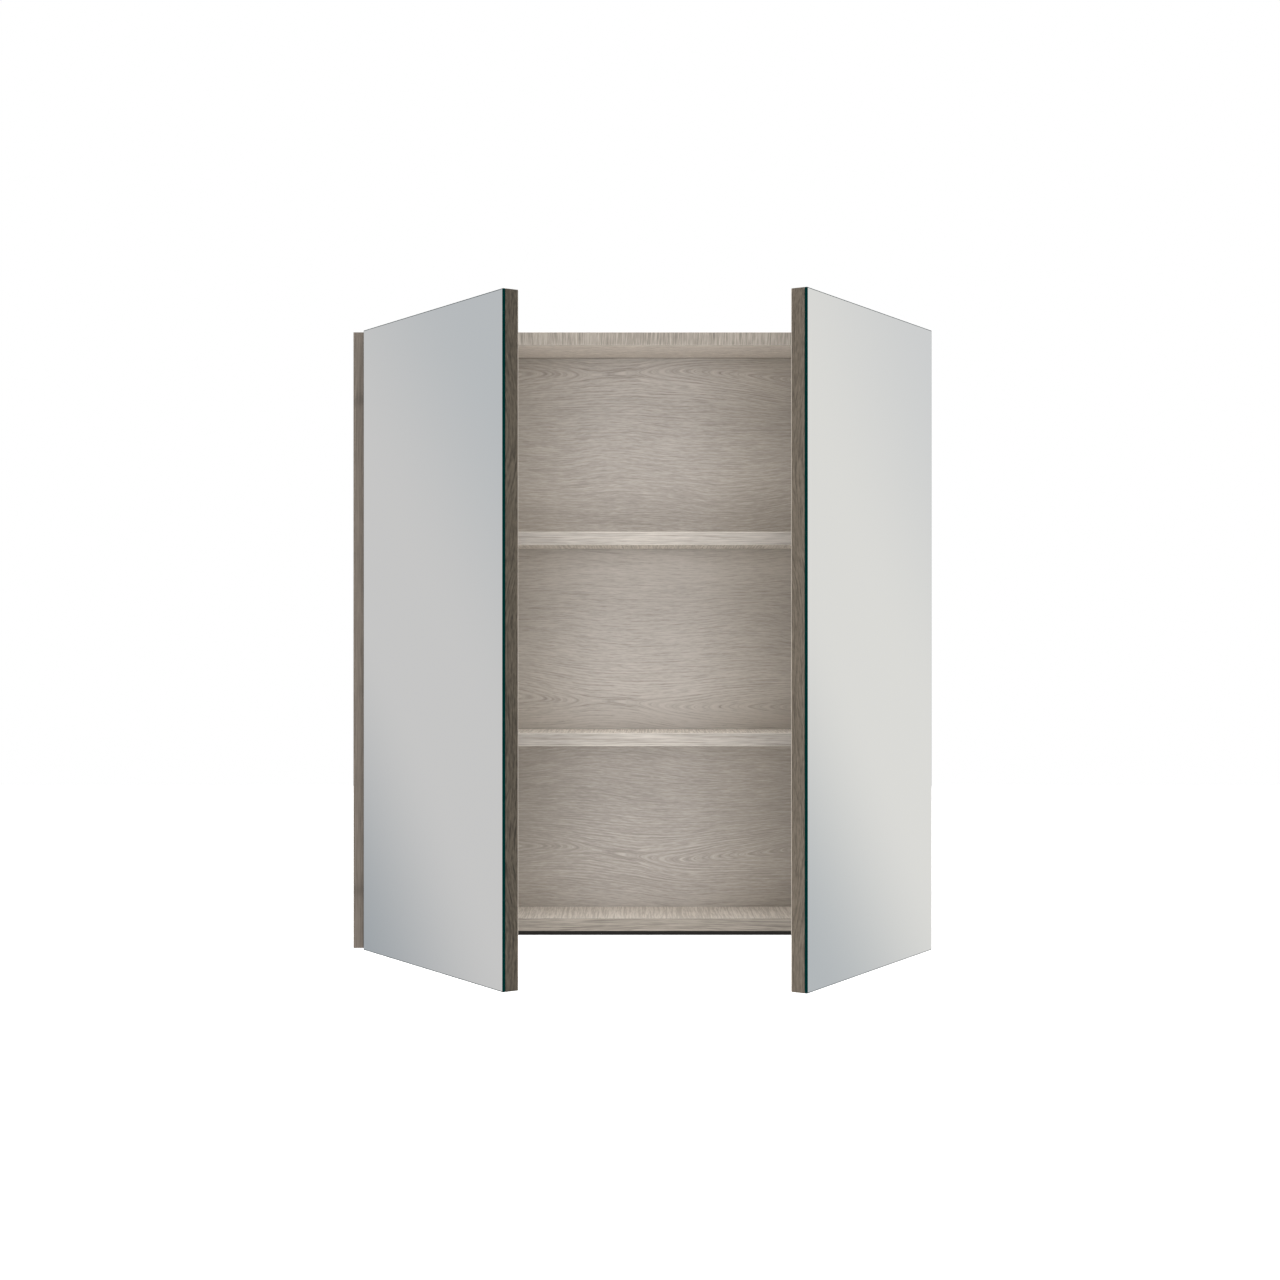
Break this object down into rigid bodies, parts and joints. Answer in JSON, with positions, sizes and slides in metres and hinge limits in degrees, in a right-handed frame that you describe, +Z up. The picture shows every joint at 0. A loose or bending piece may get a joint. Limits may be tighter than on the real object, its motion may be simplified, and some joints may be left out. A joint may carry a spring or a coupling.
{
  "type": "bathroom mirror cabinet",
  "caption": "Wall-hung bathroom cabinet of oak-look boards with shelves and two mirrored doors on concealed cup hinges, doors shown half open.",
  "frame": {"origin": "centre of the four wall screw holes, on the wall face at mid height", "axes": "+X to the right seen from the front, +Y into the wall, +Z up"},
  "size_m": [0.702, 0.4209, 0.75],
  "materials": {
    "oak_board": "matt grey-oak laminate",
    "oak_band": "matt oak-look edge band",
    "mirror_glass": "polished mirror",
    "foam_tape": "foam tape",
    "clear_bumper": "soft silicone",
    "plated_steel": "zinc plated",
    "nickel_steel": "nickel plated",
    "cap_plastic": "oak-tone cap",
    "beech_dowel": "raw beech"
  },
  "bodies": {
    "carcass": {"left_side": "oak_board", "right_side": "oak_board", "left_side_band": "oak_band", "right_side_band": "oak_band", "top_panel": "oak_board", "top_panel_band": "oak_band", "bottom_panel": "oak_board", "bottom_panel_band": "oak_band", "back_panel": "oak_board", "upper_shelf": "oak_board", "upper_shelf_band": "oak_band", "lower_shelf": "oak_board", "lower_shelf_band": "oak_band", "upper_shelf_pins": "plated_steel", "lower_shelf_pins": "plated_steel", "assembly_screws": "plated_steel", "back_screws": "plated_steel", "screw_caps": "cap_plastic", "assembly_dowels": "beech_dowel", "hinge_plate_screws": "plated_steel", "hinge_arm_screws": "plated_steel", "left_upper_hinge_plate": "nickel_steel", "left_upper_hinge_arm": "nickel_steel", "left_lower_hinge_plate": "nickel_steel", "left_lower_hinge_arm": "nickel_steel", "right_upper_hinge_plate": "nickel_steel", "right_upper_hinge_arm": "nickel_steel", "right_lower_hinge_plate": "nickel_steel", "right_lower_hinge_arm": "nickel_steel"},
    "left_door": {"left_upper_hinge_cup": "nickel_steel", "left_upper_hinge_pin": "nickel_steel", "left_lower_hinge_cup": "nickel_steel", "left_lower_hinge_pin": "nickel_steel", "left_door_board": "oak_board", "left_door_band": "oak_band", "left_mirror": "mirror_glass", "left_mirror_tape": "foam_tape", "left_door_bumpers": "clear_bumper", "left_cup_screws": "plated_steel"},
    "right_door": {"right_upper_hinge_cup": "nickel_steel", "right_upper_hinge_pin": "nickel_steel", "right_lower_hinge_cup": "nickel_steel", "right_lower_hinge_pin": "nickel_steel", "right_door_board": "oak_board", "right_door_band": "oak_band", "right_mirror": "mirror_glass", "right_mirror_tape": "foam_tape", "right_door_bumpers": "clear_bumper", "right_cup_screws": "plated_steel"}
  },
  "joints": [
    {"name": "left_door_swing", "type": "hinge", "parent": "carcass", "child": "left_door", "pos_m": [-0.32454, -0.1335, 0], "axis": [0, 0, -1], "range_deg": [-56.1, 38.9]},
    {"name": "right_door_swing", "type": "hinge", "parent": "carcass", "child": "right_door", "pos_m": [0.34104, -0.1335, 0], "axis": [0, 0, 1], "range_deg": [-58.7, 36.3]}
  ]
}
